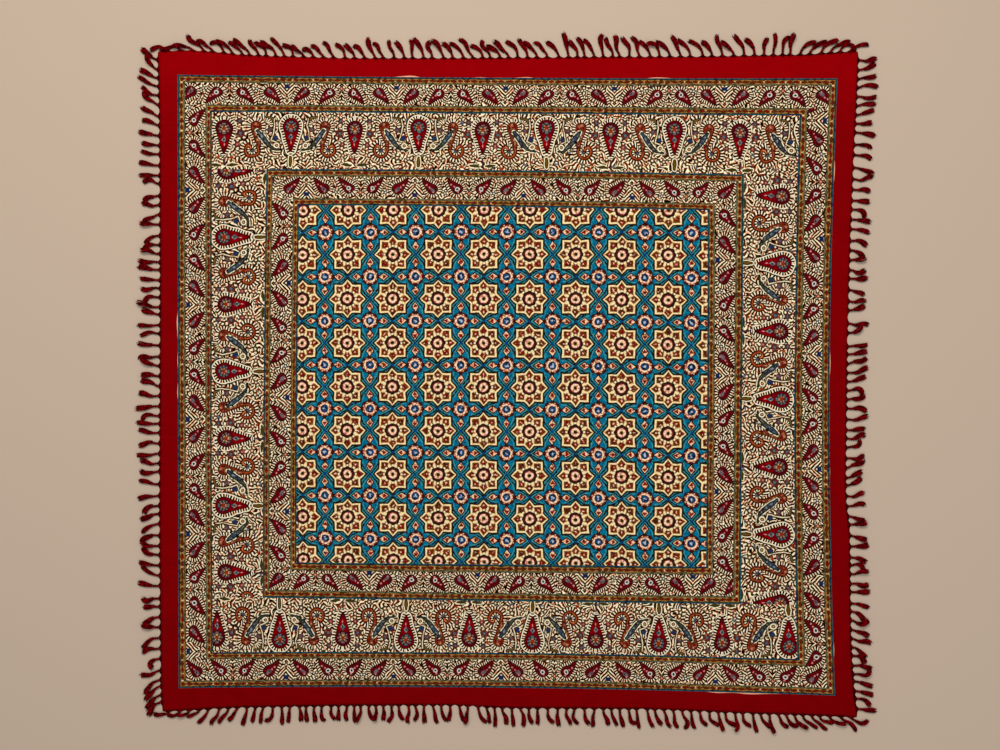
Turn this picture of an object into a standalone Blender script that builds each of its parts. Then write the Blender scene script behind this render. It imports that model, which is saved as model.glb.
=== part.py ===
# Printed cotton tablecloth with a knotted fringe on all four sides, laid flat.
# Metres, +Z up. The cloth lies on z = 0 and the whole part's box is centred on the origin.
# +X runs along the back and front sides, +Y points to the back side.

import math

import bmesh
import bpy
import numpy as np

MILLIMETRE = 0.001

# The cloth as it was cut, before it eased into its laid outline
CUT_WIDTH = 1.000
CUT_DEPTH = 0.953
CLOTH_THICKNESS = 0.0012

# The edge strip carries the fringe and is parted from the cloth
STRIP_WIDTH = 0.004
PART_GAP = 0.0003

# Cells of the cloth's grid
CELLS_X = 26
CELLS_Y = 25
EDGE = STRIP_WIDTH + PART_GAP

# How far each side of the laid cloth eases inside the cut rectangle.
# Columns: share of the side, inset in millimetres.
# Back and front run from left to right, left and right run from back to front.
SIDE_EASE = {
    "back": [(0.00, 3.0), (0.06, 0.3), (0.10, 7.0), (0.14, 9.3), (0.27, 12.9), (0.42, 13.0),
             (0.63, 11.4), (0.77, 10.7), (0.92, 7.9), (0.96, 5.0), (1.00, 2.6)],
    "front": [(0.00, 8.6), (0.06, 12.0), (0.10, 15.0), (0.27, 17.9), (0.42, 18.6), (0.49, 14.3),
              (0.70, 12.9), (0.77, 10.0), (0.85, 6.4), (0.92, 4.3), (1.00, 0.3)],
    "left": [(0.00, 0.3), (0.07, 2.5), (0.15, 3.2), (0.35, 4.0), (0.70, 3.0), (0.85, 4.0),
             (0.95, 5.0), (1.00, 7.0)],
    "right": [(0.00, 0.3), (0.07, 2.9), (0.15, 7.1), (0.30, 12.9), (0.45, 16.6), (0.64, 18.6),
              (0.69, 17.3), (0.72, 12.6), (0.82, 12.1), (0.90, 10.7), (0.97, 5.7), (1.00, 1.4)],
}

# Soft ripples in the laid cloth, where its slack stands off the surface.
# Columns: centre x, centre y, direction in degrees, length, width, height, all in metres.
RIPPLES = [
    (0.400, 0.120, 84.0, 0.300, 0.060, 0.0022),
    (0.370, -0.190, 97.0, 0.260, 0.056, 0.0018),
    (-0.300, 0.395, 3.0, 0.260, 0.052, 0.0020),
    (0.140, 0.400, -2.0, 0.300, 0.056, 0.0014),
    (-0.120, -0.390, 2.0, 0.340, 0.056, 0.0020),
    (0.300, -0.385, -6.0, 0.200, 0.060, 0.0016),
    (-0.425, -0.060, 90.0, 0.380, 0.050, 0.0012),
    (-0.215, 0.090, 90.0, 0.520, 0.070, 0.0010),
    (0.215, -0.060, 91.0, 0.460, 0.070, 0.0010),
]

# A fringe strand lies on the surface: a twisted neck, a knot and a tuft.
# Columns: share of the strand's length, width and height in millimetres.
STRAND_FORM = [
    (0.00, 3.4, 1.2),
    (0.36, 2.8, 2.5),
    (0.50, 5.2, 4.2),
    (0.86, 6.4, 4.4),
    (1.00, 5.0, 3.0),
]
# Width of a strand's upper face as a share of its lower one
STRAND_TOP = 0.72

# Room kept between two strands, and between a root and a column of the cloth's grid
STRAND_SPACE = 0.0007
ROOT_CLEAR = 0.0004

# A strand leaves its root at the first share of its lean and ends at the second
ROOT_LEAN = 0.35
TIP_LEAN = 1.30
STEEPEST_LEAN = 78.0
LEAN_STEPS = 24

# Neighbouring strands slide apart in passes, by a power of the share along the strand
SPREAD_PASSES = 240
SPREAD_POWER = 0.7
SPREAD_DONE = 0.00001

# How the strands lie along each side, one row for each stretch.
# Columns: start and end as shares of the side, strands, lean of the stretch in degrees
# (positive towards the side's end), lean of every other strand towards its neighbour,
# curl of the tips in degrees, length of the strands in millimetres.
FRINGE_ROWS = {
    "back": [
        (0.004, 0.060, 3, -58, 0, -8, 27), (0.060, 0.100, 3, -60, 0, -12, 29),
        (0.100, 0.200, 8, -52, 2, -4, 31), (0.200, 0.245, 3, -58, 5, -10, 26),
        (0.245, 0.330, 6, -38, 7, -14, 28), (0.330, 0.400, 5, -24, 5, -4, 29),
        (0.400, 0.445, 3, -38, 6, -20, 29), (0.445, 0.520, 6, -46, 7, -8, 30),
        (0.520, 0.580, 4, -40, 9, -6, 31), (0.580, 0.680, 8, -24, 10, -4, 33),
        (0.680, 0.770, 6, -36, 9, -4, 31), (0.770, 0.860, 6, -30, 6, -42, 30),
        (0.860, 0.910, 4, 4, 13, 4, 29), (0.910, 0.996, 6, 42, 5, 14, 31),
    ],
    "front": [
        (0.004, 0.060, 4, -62, 3, -12, 22), (0.060, 0.115, 4, -40, 3, 8, 25),
        (0.115, 0.190, 6, -8, 4, 2, 25), (0.190, 0.270, 7, 2, 5, 2, 24),
        (0.270, 0.335, 6, -3, 5, -2, 24), (0.335, 0.395, 5, 9, 9, 8, 25),
        (0.395, 0.460, 5, 8, 13, 10, 25), (0.460, 0.520, 5, 14, 14, 2, 27),
        (0.520, 0.575, 4, 8, 9, 16, 26), (0.575, 0.640, 5, 2, 15, -6, 26),
        (0.640, 0.690, 4, 18, 3, 4, 26), (0.690, 0.780, 7, 20, 6, 4, 27),
        (0.780, 0.880, 8, 22, 9, 10, 26), (0.880, 0.940, 5, 40, 2, 4, 28),
        (0.940, 0.996, 4, 58, 0, 8, 28),
    ],
    "left": [
        (0.007, 0.060, 4, -28, 4, 4, 30), (0.060, 0.120, 4, -34, 4, -6, 28),
        (0.120, 0.210, 6, -12, 5, -2, 28), (0.210, 0.285, 5, 6, 16, 14, 28),
        (0.285, 0.380, 7, -4, 3, 2, 30), (0.380, 0.420, 3, -8, 6, -6, 30),
        (0.420, 0.455, 2, 2, 14, 0, 30), (0.455, 0.530, 5, -15, 5, -4, 29),
        (0.530, 0.600, 5, -6, 10, 2, 31), (0.600, 0.680, 5, 2, 8, 6, 31),
        (0.680, 0.740, 4, 8, 9, 34, 29), (0.740, 0.820, 5, -18, 6, -6, 29),
        (0.820, 0.880, 4, 8, 11, 4, 26), (0.880, 0.945, 4, 18, 6, 10, 28),
        (0.945, 0.993, 4, 30, 4, 8, 29),
    ],
    "right": [
        (0.007, 0.075, 5, -2, 10, -10, 28), (0.075, 0.115, 3, -16, 9, -4, 26),
        (0.115, 0.165, 3, 8, 8, 8, 28), (0.165, 0.200, 2, 2, 14, 2, 29),
        (0.200, 0.290, 6, 9, 5, 2, 28), (0.290, 0.365, 5, 6, 14, 10, 25),
        (0.365, 0.450, 5, -8, 10, -8, 27), (0.450, 0.530, 6, -18, 10, 0, 29),
        (0.530, 0.575, 3, -4, 6, 4, 29), (0.575, 0.690, 8, -20, 6, -8, 28),
        (0.690, 0.765, 5, 4, 11, -10, 26), (0.765, 0.835, 5, 2, 7, 2, 26),
        (0.835, 0.915, 6, 20, 3, 6, 27), (0.915, 0.993, 6, 6, 5, 4, 26),
    ],
}
# How much single strands differ: degrees of lean, share of length, share of spacing
LEAN_SCATTER = 5.0
LENGTH_SCATTER = 0.10
ROOT_SCATTER = 0.12

# Finish of each piece: colour (linear), roughness
FINISH = {
    "cloth": ((0.30, 0.17, 0.10, 1.0), 0.85),
    "fringe": ((0.14, 0.004, 0.008, 1.0), 0.90),
}


def grid_shares(side):
    """Shares of a side at which the cloth's grid has its columns or rows."""
    wide = side in ("back", "front")
    edge = EDGE / (CUT_WIDTH if wide else CUT_DEPTH)
    cells = CELLS_X if wide else CELLS_Y
    return edge + (1.0 - 2.0 * edge) * np.arange(cells + 1) / cells


def ease(side, share):
    """Inset of a side, in metres, straight from one column of the cloth's grid to the next."""
    table = np.array(SIDE_EASE[side])
    knots = grid_shares(side)
    return np.interp(share, knots, np.interp(knots, table[:, 0], table[:, 1])) * MILLIMETRE


def laid_point(u, v):
    """Place on the laid cloth of a share across, from the left, and a share from the front."""
    from_left = -CUT_WIDTH / 2 + ease("left", 1.0 - v)
    from_right = CUT_WIDTH / 2 - ease("right", 1.0 - v)
    from_front = -CUT_DEPTH / 2 + ease("front", u)
    from_back = CUT_DEPTH / 2 - ease("back", u)
    return from_left + (from_right - from_left) * u, from_front + (from_back - from_front) * v


def ripple_height(x, y):
    """How high the slack stands off the surface: each ripple is a soft bump along a line."""
    height = np.zeros_like(x)
    for centre_x, centre_y, angle, length, width, rise in RIPPLES:
        cos_a, sin_a = math.cos(math.radians(angle)), math.sin(math.radians(angle))
        along = ((x - centre_x) * cos_a + (y - centre_y) * sin_a) / (length / 2)
        across = ((y - centre_y) * cos_a - (x - centre_x) * sin_a) / (width / 2)
        bump = np.clip(1.0 - along ** 2, 0.0, 1.0) ** 2 * np.clip(1.0 - across ** 2, 0.0, 1.0) ** 2
        height = np.maximum(height, rise * bump)
    return height


def scatter(index, channel):
    """An even spread of values from -1 to 1, the same on every run."""
    value = math.sin(index * 12.9898 + channel * 78.233) * 43758.5453
    return 2.0 * (value - math.floor(value)) - 1.0


def side_point(side, share, inset):
    """Place on a side at a share of its length, a distance inside its outer edge."""
    share = np.asarray(share, dtype=float)
    deep_x, deep_y = inset / CUT_WIDTH, inset / CUT_DEPTH
    if side == "back":
        return np.stack(laid_point(share, np.full_like(share, 1.0 - deep_y)), axis=-1)
    if side == "front":
        return np.stack(laid_point(share, np.full_like(share, deep_y)), axis=-1)
    if side == "left":
        return np.stack(laid_point(np.full_like(share, deep_x), 1.0 - share), axis=-1)
    return np.stack(laid_point(np.full_like(share, 1.0 - deep_x), 1.0 - share), axis=-1)


# Along and outward directions of each side
SIDE_AXES = {
    "back": (np.array([1.0, 0.0]), np.array([0.0, 1.0])),
    "front": (np.array([1.0, 0.0]), np.array([0.0, -1.0])),
    "left": (np.array([0.0, -1.0]), np.array([-1.0, 0.0])),
    "right": (np.array([0.0, -1.0]), np.array([1.0, 0.0])),
}


def side_length(side):
    return CUT_WIDTH if side in ("back", "front") else CUT_DEPTH


def half_root():
    """Half the width of a strand where it grows out of the strip."""
    return STRAND_FORM[0][1] * MILLIMETRE / 2


def clear_of_knots(side, share):
    """Moves a root along the side until no column of the cloth's grid crosses it."""
    knots = grid_shares(side)
    nearest = knots[np.argmin(np.abs(knots - share))]
    reach = (half_root() + ROOT_CLEAR) / side_length(side)
    if abs(share - nearest) < reach:
        share = nearest + (reach if share > nearest else -reach)
    return share


def strand_paths(side):
    """Root shares of a side's strands and their centre lines, spread until none touch."""
    roots, paths = [], []
    along, outward = SIDE_AXES[side]
    steps = (np.arange(LEAN_STEPS) + 0.5) / LEAN_STEPS
    for start, end, count, lean, pair, curl, length in FRINGE_ROWS[side]:
        for place in range(count):
            index = len(roots)
            share = start + (end - start) * (place + 0.5 + ROOT_SCATTER * scatter(index, 1)) / count
            share = clear_of_knots(side, share)
            angle = lean + (pair if place % 2 == 0 else -pair) + LEAN_SCATTER * scatter(index, 2)
            reach = length * MILLIMETRE * (1.0 + LENGTH_SCATTER * scatter(index, 3))
            turn = np.radians(angle * (ROOT_LEAN + (TIP_LEAN - ROOT_LEAN) * steps)
                              + curl * steps ** 2)
            turn = np.clip(turn, -math.radians(STEEPEST_LEAN), math.radians(STEEPEST_LEAN))
            step = np.sin(turn)[:, None] * along + np.cos(turn)[:, None] * outward
            line = np.vstack([[0.0, 0.0], np.cumsum(step, axis=0) * reach / LEAN_STEPS])
            roots.append(share)
            paths.append(side_point(side, share, 0.0) + line)
    return np.array(roots), spread_apart(np.array(paths), along)


def spread_apart(paths, along):
    """Slides neighbouring strands along the side, more towards their tips, until clear."""
    shares = np.linspace(0.0, 1.0, LEAN_STEPS + 1)
    form = np.array(STRAND_FORM)
    half_width = np.interp(shares, form[:, 0], form[:, 1]) * MILLIMETRE / 2
    need = half_width[:, None] + half_width[None, :] + STRAND_SPACE
    for _ in range(SPREAD_PASSES):
        worst = 0.0
        for first in range(len(paths) - 1):
            for second in range(first + 1, min(first + 3, len(paths))):
                apart = np.linalg.norm(paths[first][:, None] - paths[second][None, :], axis=2)
                lack = (need - apart).max()
                if lack > 0.0:
                    slide = 0.5 * lack * shares[:, None] ** SPREAD_POWER * along
                    paths[first] -= slide
                    paths[second] += slide
                    worst = max(worst, lack)
        if worst < SPREAD_DONE:
            break
    return paths


def cross_section(path, share, width, height):
    """Four corners of a strand at a share of its length, flat on the surface."""
    place = share * LEAN_STEPS
    low = min(int(place), LEAN_STEPS - 1)
    centre = path[low] + (path[low + 1] - path[low]) * (place - low)
    ahead = path[low + 1] - path[low]
    ahead = ahead / np.linalg.norm(ahead)
    right = np.array([ahead[1], -ahead[0]])
    base, top = 0.5 * width, 0.5 * width * STRAND_TOP
    return [(*(centre - right * base), 0.0), (*(centre + right * base), 0.0),
            (*(centre + right * top), height), (*(centre - right * top), height)]


def grow_strand(mesh, ring, path, along, shift):
    """Carries the strand's sections from a ring of the strip to the tip, and returns the tip."""
    for share, width, height in STRAND_FORM[1:]:
        corners = cross_section(path, share, width * MILLIMETRE, height * MILLIMETRE)
        if np.dot(np.array(corners[1][:2]) - np.array(corners[0][:2]), along) < 0.0:
            corners = [corners[1], corners[0], corners[3], corners[2]]
        tip = [mesh.verts.new((x + shift[0], y + shift[1], z)) for x, y, z in corners]
        for k in range(4):
            mesh.faces.new((ring[k], ring[(k + 1) % 4], tip[(k + 1) % 4], tip[k]))
        ring = tip
    return ring


def make_material(name, finish):
    material = bpy.data.materials.new(name)
    material.use_nodes = True
    shader = material.node_tree.nodes["Principled BSDF"]
    colour, roughness = finish
    shader.inputs["Base Color"].default_value = colour
    shader.inputs["Roughness"].default_value = roughness
    shader.inputs["Metallic"].default_value = 0.0
    material.diffuse_color = colour
    return material


def make_object(name, mesh_data, material, collection):
    mesh = bpy.data.meshes.new(name)
    mesh_data.to_mesh(mesh)
    mesh_data.free()
    mesh.materials.append(material)
    part = bpy.data.objects.new(name, mesh)
    collection.objects.link(part)
    return part


def make_cloth(shift, material, collection):
    """The printed cloth: a grid eased to the laid outline, given its thickness by Solidify."""
    sheet = bmesh.new()
    bmesh.ops.create_grid(sheet, x_segments=CELLS_X, y_segments=CELLS_Y, size=0.5)
    for point in sheet.verts:
        u = EDGE / CUT_WIDTH + (point.co.x + 0.5) * (1.0 - 2.0 * EDGE / CUT_WIDTH)
        v = EDGE / CUT_DEPTH + (point.co.y + 0.5) * (1.0 - 2.0 * EDGE / CUT_DEPTH)
        x, y = laid_point(np.array(u), np.array(v))
        height = float(ripple_height(x, y))
        point.co = (float(x) + shift[0], float(y) + shift[1], CLOTH_THICKNESS + height)
    cloth = make_object("cloth", sheet, material, collection)
    solid = cloth.modifiers.new("thickness", "SOLIDIFY")
    solid.thickness = CLOTH_THICKNESS
    solid.offset = -1.0
    cloth.data.shade_smooth()
    return cloth


def make_fringe(name, side, shift, material, collection):
    """A strip of the cloth's edge with the strands of one side growing out of it."""
    roots, paths = strand_paths(side)
    along = SIDE_AXES[side][0]
    half = half_root() / side_length(side)
    end = 0.0 if side in ("back", "front") else EDGE / CUT_DEPTH
    knots = [knot for knot in grid_shares(side) if end < knot < 1.0 - end]
    stations = np.unique(np.round(np.concatenate(
        [[end, 1.0 - end], knots, roots - half, roots + half]), 9))
    rooted = {int(np.argmin(np.abs(stations - (share - half)))): number
              for number, share in enumerate(roots)}
    outer = side_point(side, stations, 0.0)
    inner = side_point(side, stations, STRIP_WIDTH)
    mesh = bmesh.new()

    def row(points, height):
        return [mesh.verts.new((x + shift[0], y + shift[1], height)) for x, y in points]

    low_outer, high_outer = row(outer, 0.0), row(outer, CLOTH_THICKNESS)
    low_inner, high_inner = row(inner, 0.0), row(inner, CLOTH_THICKNESS)
    last = len(stations) - 1
    for place in range(last):
        after = place + 1
        mesh.faces.new((high_outer[place], high_outer[after], high_inner[after], high_inner[place]))
        mesh.faces.new((low_outer[after], low_outer[place], low_inner[place], low_inner[after]))
        mesh.faces.new((low_inner[place], high_inner[place], high_inner[after], low_inner[after]))
        ring = [low_outer[place], low_outer[after], high_outer[after], high_outer[place]]
        if place in rooted:
            ring = grow_strand(mesh, ring, paths[rooted[place]], along, shift)
        mesh.faces.new(ring)
    for place in (0, last):
        mesh.faces.new((low_outer[place], high_outer[place], high_inner[place], low_inner[place]))
    bmesh.ops.recalc_face_normals(mesh, faces=mesh.faces)
    return make_object(name, mesh, material, collection)


def box_shift():
    """Shift that centres the whole part's box on the origin."""
    spans = []
    for side in SIDE_AXES:
        for path in strand_paths(side)[1]:
            for share, width, height in STRAND_FORM[1:]:
                corners = cross_section(path, share, width * MILLIMETRE, height * MILLIMETRE)
                spans += [corner[:2] for corner in corners]
    spans = np.array(spans)
    return -(spans.min(axis=0) + spans.max(axis=0)) / 2.0


def main():
    for item in list(bpy.data.objects):
        bpy.data.objects.remove(item, do_unlink=True)
    collection = bpy.data.collections.new("tablecloth")
    bpy.context.scene.collection.children.link(collection)
    shift = box_shift()
    make_cloth(shift, make_material("printed_cotton", FINISH["cloth"]), collection)
    yarn = make_material("fringe_yarn", FINISH["fringe"])
    for side in SIDE_AXES:
        make_fringe("fringe_" + side, side, shift, yarn, collection)


main()
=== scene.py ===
# Looks of a block-printed cotton tablecloth with a knotted fringe, laid flat on a pale floor.
# The print is drawn with shader maths in steps of 1/700 of the cut cloth's width.
import math

import bpy
import numpy as np
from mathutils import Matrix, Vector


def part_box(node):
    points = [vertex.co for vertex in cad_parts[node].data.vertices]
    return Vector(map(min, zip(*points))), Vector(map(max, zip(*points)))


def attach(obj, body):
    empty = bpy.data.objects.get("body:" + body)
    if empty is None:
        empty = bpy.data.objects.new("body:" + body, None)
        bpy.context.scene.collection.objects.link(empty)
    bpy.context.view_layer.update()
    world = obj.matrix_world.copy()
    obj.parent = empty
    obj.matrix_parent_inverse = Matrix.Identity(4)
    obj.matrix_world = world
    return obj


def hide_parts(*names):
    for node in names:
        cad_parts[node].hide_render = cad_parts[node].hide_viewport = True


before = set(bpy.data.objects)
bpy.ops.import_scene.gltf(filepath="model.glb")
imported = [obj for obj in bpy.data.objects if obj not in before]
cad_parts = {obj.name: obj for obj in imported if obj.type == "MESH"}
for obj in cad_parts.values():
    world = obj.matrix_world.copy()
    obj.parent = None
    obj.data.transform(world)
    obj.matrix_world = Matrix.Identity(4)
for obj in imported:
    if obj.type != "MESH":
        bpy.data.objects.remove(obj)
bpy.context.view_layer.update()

step = 1 / 700
mm = 0.001

# the laid cloth and its strands' centre lines come from the same values as the part
cloth = {"width": 1.0, "depth": 0.953, "top": 0.0012, "hem": 0.0043, "columns": 26, "rows": 25}

# how far each side eases inside the cut: share of the side, inset in millimetres
sideEase = {
    "back": [(0, 3), (0.06, 0.3), (0.1, 7), (0.14, 9.3), (0.27, 12.9), (0.42, 13), (0.63, 11.4),
             (0.77, 10.7), (0.92, 7.9), (0.96, 5), (1, 2.6)],
    "front": [(0, 8.6), (0.06, 12), (0.1, 15), (0.27, 17.9), (0.42, 18.6), (0.49, 14.3), (0.7, 12.9),
              (0.77, 10), (0.85, 6.4), (0.92, 4.3), (1, 0.3)],
    "left": [(0, 0.3), (0.07, 2.5), (0.15, 3.2), (0.35, 4), (0.7, 3), (0.85, 4), (0.95, 5), (1, 7)],
    "right": [(0, 0.3), (0.07, 2.9), (0.15, 7.1), (0.3, 12.9), (0.45, 16.6), (0.64, 18.6), (0.69, 17.3),
              (0.72, 12.6), (0.82, 12.1), (0.9, 10.7), (0.97, 5.7), (1, 1.4)],
}

# centre x, centre y, direction in degrees, length, width, height
ripples = [
    (0.4, 0.12, 84, 0.3, 0.06, 0.0022), (0.37, -0.19, 97, 0.26, 0.056, 0.0018),
    (-0.3, 0.395, 3, 0.26, 0.052, 0.002), (0.14, 0.4, -2, 0.3, 0.056, 0.0014),
    (-0.12, -0.39, 2, 0.34, 0.056, 0.002), (0.3, -0.385, -6, 0.2, 0.06, 0.0016),
    (-0.425, -0.06, 90, 0.38, 0.05, 0.0012), (-0.215, 0.09, 90, 0.52, 0.07, 0.001),
    (0.215, -0.06, 91, 0.46, 0.07, 0.001)]

# along and outward directions of each side
sideWays = {"back": ((1, 0), (0, 1)), "front": ((1, 0), (0, -1)),
            "left": ((0, -1), (-1, 0)), "right": ((0, -1), (1, 0))}


def sideLength(side):
    return cloth["width" if side in ("back", "front") else "depth"]


def gridShares(side):
    # shares of a side at the part's grid lines, the hem's cells at its ends
    edge = cloth["hem"] / sideLength(side)
    cells = cloth["columns" if side in ("back", "front") else "rows"]
    return edge + (1 - 2 * edge) * np.arange(cells + 1) / cells


def ease(side, share):
    # inset of a side in metres, straight from one line of the part's grid to the next
    table = np.array(sideEase[side])
    knots = gridShares(side)
    return np.interp(share, knots, np.interp(knots, table[:, 0], table[:, 1])) * mm


def laidPoint(u, v):
    # x = left + (right - left) * u, y = front + (back - front) * v, each side eased inwards
    left = -cloth["width"] / 2 + ease("left", 1 - v)
    right = cloth["width"] / 2 - ease("right", 1 - v)
    front = -cloth["depth"] / 2 + ease("front", u)
    back = cloth["depth"] / 2 - ease("back", u)
    return left + (right - left) * u, front + (back - front) * v


def sidePoint(side, share, inset):
    # the point at a share of a side and an inset, in metres, from its edge
    share = np.asarray(share, dtype=float)
    upright = side in ("left", "right")
    deep = inset / cloth["width" if upright else "depth"]
    deep = np.full_like(share, 1 - deep if side in ("back", "right") else deep)
    return np.stack(laidPoint(deep, 1 - share) if upright else laidPoint(share, deep), axis=-1)


def rippleHeight(x, y):
    # each ripple is rise * (1 - along^2)^2 * (1 - across^2)^2, the highest one counts
    height = np.zeros_like(x)
    for centreX, centreY, angle, length, width, rise in ripples:
        c, s = math.cos(math.radians(angle)), math.sin(math.radians(angle))
        along = ((x - centreX) * c + (y - centreY) * s) / (length / 2)
        across = ((y - centreY) * c - (x - centreX) * s) / (width / 2)
        bump = np.clip(1 - along ** 2, 0, 1) ** 2 * np.clip(1 - across ** 2, 0, 1) ** 2
        height = np.maximum(height, rise * bump)
    return height


# width in millimetres at shares of a strand's length
strandForm = np.array([(0, 3.4), (0.36, 2.8), (0.5, 5.2), (0.86, 6.4), (1, 5)])
strand = {"space": 0.0007, "clear": 0.0004, "rootLean": 0.35, "tipLean": 1.3,
          "steepest": 78, "steps": 24, "passes": 240, "power": 0.7, "done": 0.00001,
          "leanScatter": 5, "lengthScatter": 0.1, "rootScatter": 0.12}

# share of each side where its strands start, then stretches: end, strands, lean, lean of every other one,
# curl, length in mm
fringeRows = {
    "back": (0.004, [
        (0.06, 3, -58, 0, -8, 27), (0.1, 3, -60, 0, -12, 29), (0.2, 8, -52, 2, -4, 31),
        (0.245, 3, -58, 5, -10, 26), (0.33, 6, -38, 7, -14, 28), (0.4, 5, -24, 5, -4, 29),
        (0.445, 3, -38, 6, -20, 29), (0.52, 6, -46, 7, -8, 30), (0.58, 4, -40, 9, -6, 31),
        (0.68, 8, -24, 10, -4, 33), (0.77, 6, -36, 9, -4, 31), (0.86, 6, -30, 6, -42, 30),
        (0.91, 4, 4, 13, 4, 29), (0.996, 6, 42, 5, 14, 31)]),
    "front": (0.004, [
        (0.06, 4, -62, 3, -12, 22), (0.115, 4, -40, 3, 8, 25), (0.19, 6, -8, 4, 2, 25),
        (0.27, 7, 2, 5, 2, 24), (0.335, 6, -3, 5, -2, 24), (0.395, 5, 9, 9, 8, 25), (0.46, 5, 8, 13, 10, 25),
        (0.52, 5, 14, 14, 2, 27), (0.575, 4, 8, 9, 16, 26), (0.64, 5, 2, 15, -6, 26),
        (0.69, 4, 18, 3, 4, 26), (0.78, 7, 20, 6, 4, 27), (0.88, 8, 22, 9, 10, 26), (0.94, 5, 40, 2, 4, 28),
        (0.996, 4, 58, 0, 8, 28)]),
    "left": (0.007, [
        (0.06, 4, -28, 4, 4, 30), (0.12, 4, -34, 4, -6, 28), (0.21, 6, -12, 5, -2, 28),
        (0.285, 5, 6, 16, 14, 28), (0.38, 7, -4, 3, 2, 30), (0.42, 3, -8, 6, -6, 30),
        (0.455, 2, 2, 14, 0, 30), (0.53, 5, -15, 5, -4, 29), (0.6, 5, -6, 10, 2, 31), (0.68, 5, 2, 8, 6, 31),
        (0.74, 4, 8, 9, 34, 29), (0.82, 5, -18, 6, -6, 29), (0.88, 4, 8, 11, 4, 26),
        (0.945, 4, 18, 6, 10, 28), (0.993, 4, 30, 4, 8, 29)]),
    "right": (0.007, [
        (0.075, 5, -2, 10, -10, 28), (0.115, 3, -16, 9, -4, 26), (0.165, 3, 8, 8, 8, 28),
        (0.2, 2, 2, 14, 2, 29), (0.29, 6, 9, 5, 2, 28), (0.365, 5, 6, 14, 10, 25), (0.45, 5, -8, 10, -8, 27),
        (0.53, 6, -18, 10, 0, 29), (0.575, 3, -4, 6, 4, 29), (0.69, 8, -20, 6, -8, 28),
        (0.765, 5, 4, 11, -10, 26), (0.835, 5, 2, 7, 2, 26), (0.915, 6, 20, 3, 6, 27),
        (0.993, 6, 6, 5, 4, 26)]),
}


def scatter(index, channel):
    # an even spread from -1 to 1: 2 * fract(sin(index * 12.9898 + channel * 78.233) * 43758.5453) - 1
    value = np.sin(index * 12.9898 + channel * 78.233) * 43758.5453
    return 2 * (value - np.floor(value)) - 1


def clearOfKnots(side, share):
    # a root keeps clear of the part's grid lines
    knots = gridShares(side)
    nearest = knots[np.argmin(np.abs(knots - share))]
    reach = (strandForm[0, 1] * mm / 2 + strand["clear"]) / sideLength(side)
    if abs(share - nearest) < reach:
        share = nearest + (reach if share > nearest else -reach)
    return share


def strandPaths(side):
    # each strand steps along (sin(turn), cos(turn)), turning from a share of its lean to its curl
    roots, paths = [], []
    along, outward = np.array(sideWays[side])
    steps = (np.arange(strand["steps"]) + 0.5) / strand["steps"]
    start, stretches = fringeRows[side]
    for end, count, lean, pair, curl, length in stretches:
        for place in range(count):
            index = len(roots)
            share = start + (end - start) * (place + 0.5 + strand["rootScatter"]
                                             * scatter(index, 1)) / count
            share = clearOfKnots(side, share)
            angle = lean + (pair if place % 2 == 0 else -pair) + strand["leanScatter"] * scatter(index, 2)
            reach = length * mm * (1 + strand["lengthScatter"] * scatter(index, 3))
            turn = np.radians(angle * (strand["rootLean"] + (strand["tipLean"] - strand["rootLean"])
                                       * steps) + curl * steps ** 2)
            turn = np.clip(turn, -math.radians(strand["steepest"]), math.radians(strand["steepest"]))
            move = np.sin(turn)[:, None] * along + np.cos(turn)[:, None] * outward
            line = np.vstack([[0, 0], np.cumsum(move, axis=0) * reach / strand["steps"]])
            roots.append(share)
            paths.append(sidePoint(side, share, 0) + line)
        start = end
    return np.array(roots), spreadApart(np.array(paths), along)


def spreadApart(paths, along):
    # neighbours slide along the side by half of what they lack, times share^power
    shares = np.linspace(0, 1, strand["steps"] + 1)
    half = np.interp(shares, strandForm[:, 0], strandForm[:, 1]) * mm / 2
    need = half[:, None] + half[None, :] + strand["space"]
    for _ in range(strand["passes"]):
        worst = 0
        for first in range(len(paths) - 1):
            for second in range(first + 1, min(first + 3, len(paths))):
                apart = np.linalg.norm(paths[first][:, None] - paths[second][None, :], axis=2)
                lack = (need - apart).max()
                if lack > 0:
                    slide = 0.5 * lack * shares[:, None] ** strand["power"] * along
                    paths[first] -= slide
                    paths[second] += slide
                    worst = max(worst, lack)
        if worst < strand["done"]:
            break
    return paths


# the part's box is centred on the origin, so its nodes give the shift from the cut's own centre
fringeLines = {side: strandPaths(side) for side in sideWays}
clothLow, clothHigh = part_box("cloth")
innerX, innerY = laidPoint(*np.meshgrid(gridShares("back"), gridShares("left")))
shift = np.array([(clothLow[0] + clothHigh[0]) / 2 - (innerX.min() + innerX.max()) / 2,
                  (clothLow[1] + clothHigh[1]) / 2 - (innerY.min() + innerY.max()) / 2])
print("strands laid:", {side: len(lines[0]) for side, lines in fringeLines.items()}, "shift", shift)


# hues of the print, sRGB out of 255
hues = {
    "cream": (255, 232, 182), "milk": (255, 238, 194), "bark": (34, 13, 3), "black": (14, 8, 4),
    "earth": (84, 48, 20), "olive": (70, 52, 22), "red": (143, 0, 5), "rust": (150, 52, 16),
    "peach": (238, 168, 132), "rose": (200, 116, 110), "slate": (86, 98, 110), "navy": (20, 34, 70),
}


def tint(colour):
    # a hue's name or sRGB out of 255 to linear, an ink stays as it is
    if isinstance(colour, Ink):
        return colour
    levels = np.array(hues.get(colour, colour)) / 255
    linear = np.where(levels <= 0.04045, levels / 12.92, ((levels + 0.055) / 1.055) ** 2.4)
    return (*linear.tolist(), 1)


def worked(operation, swapped=False):
    # a method that adds one Math node, with the other value first where swapped
    def work(self, *others):
        return self.dye.math(operation, *((*others, self) if swapped else (self, *others)))
    return work


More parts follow.
